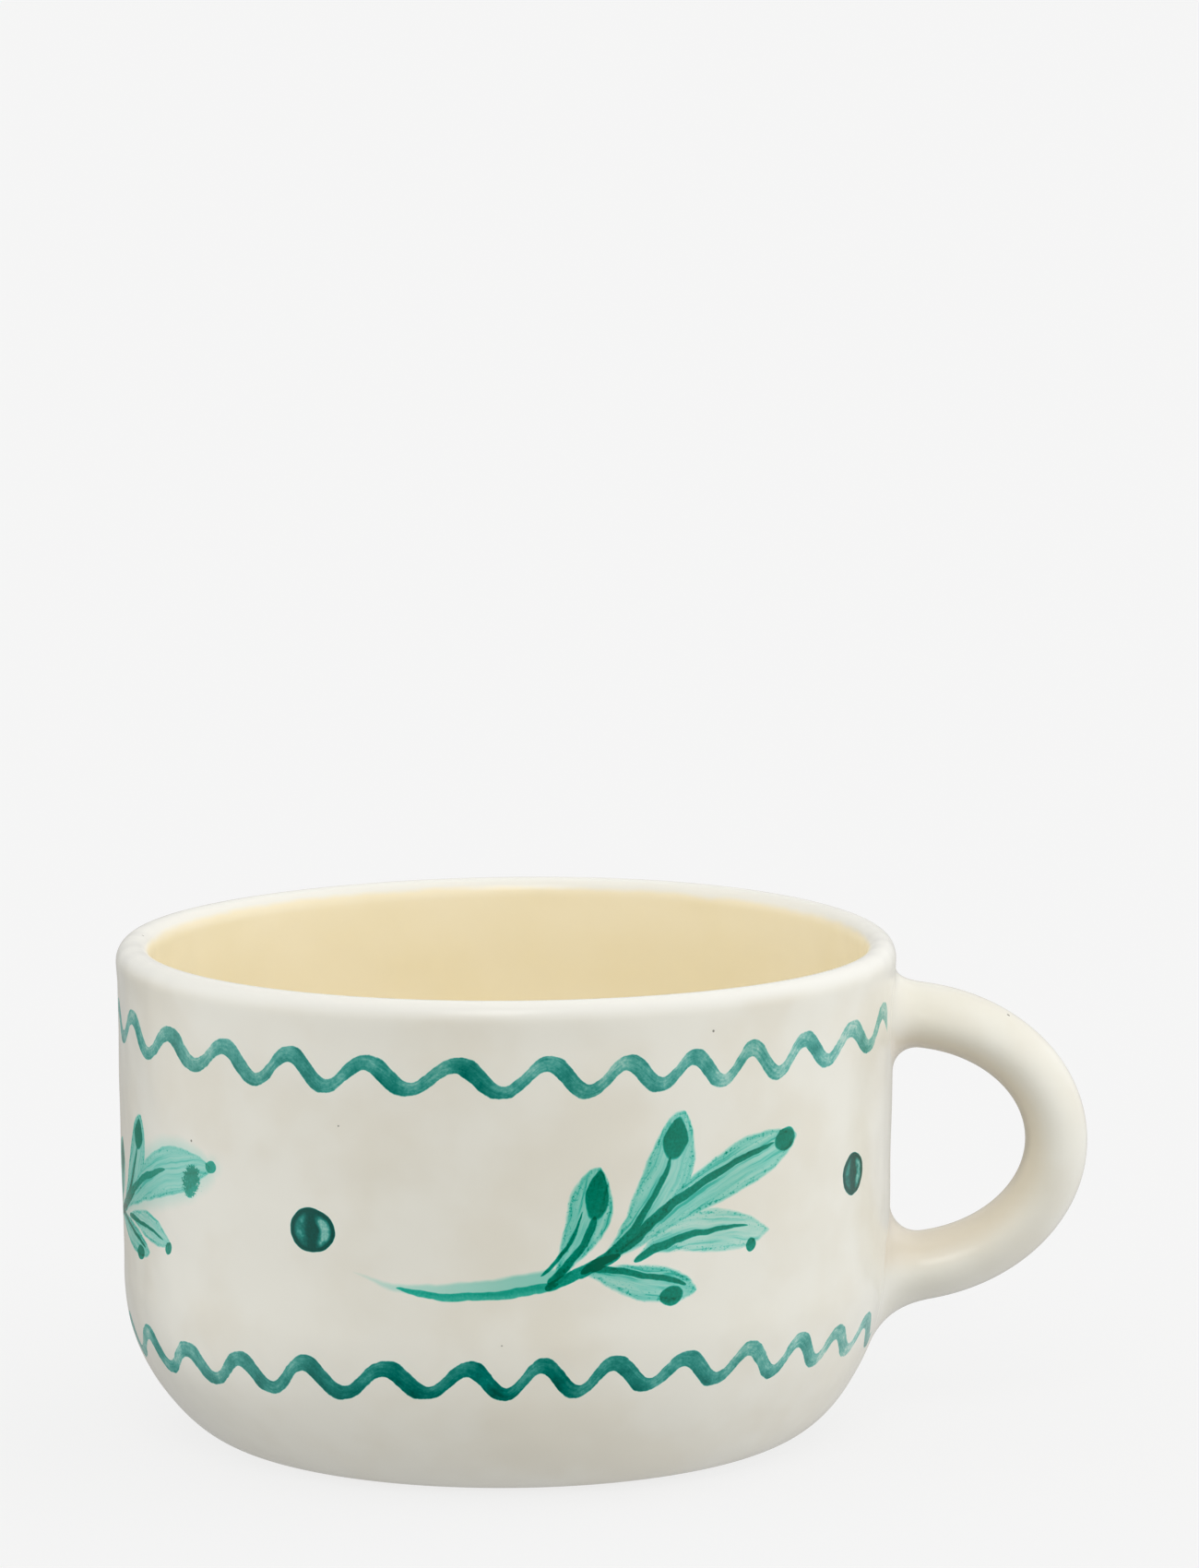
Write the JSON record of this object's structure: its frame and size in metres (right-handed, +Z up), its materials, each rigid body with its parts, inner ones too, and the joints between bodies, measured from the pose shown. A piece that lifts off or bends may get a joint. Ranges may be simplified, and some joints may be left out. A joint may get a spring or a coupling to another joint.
{
  "type": "mug",
  "caption": "Wide low stoneware mug with one pulled ear handle, white outside and cream inside, with brushed green wave lines, leafy sprigs and dots.",
  "frame": {"origin": "centre of the foot's flat underside, on the cup's axis", "axes": "+Z up along the cup's axis, +X from the axis towards the handle, the painted front faces -Y"},
  "size_m": [0.1437, 0.1154, 0.0735],
  "materials": {
    "bare_clay": "unglazed stoneware, fine and dry",
    "white_glaze": "warm white glossy glaze, slightly mottled",
    "cream_glaze": "cream yellow glossy glaze",
    "wave_paint": "sea green brushed underglaze colour, under a glossy glaze",
    "leaf_paint": "pale mint wash with dark green veins, under a glossy glaze",
    "dot_paint": "dark blue green brushed dot, under a glossy glaze"
  },
  "bodies": {
    "root": {"thrown_body": "bare_clay", "outer_glaze": "white_glaze", "liner_glaze": "cream_glaze", "handle": "white_glaze", "upper_handle_joint": "white_glaze", "lower_handle_joint": "white_glaze", "upper_wave_line": "wave_paint", "lower_wave_line": "wave_paint", "front_branch": "leaf_paint", "back_branch": "leaf_paint", "left_branch": "leaf_paint", "dot_1": "dot_paint", "dot_2": "dot_paint", "dot_3": "dot_paint", "dot_4": "dot_paint"}
  },
  "joints": []
}
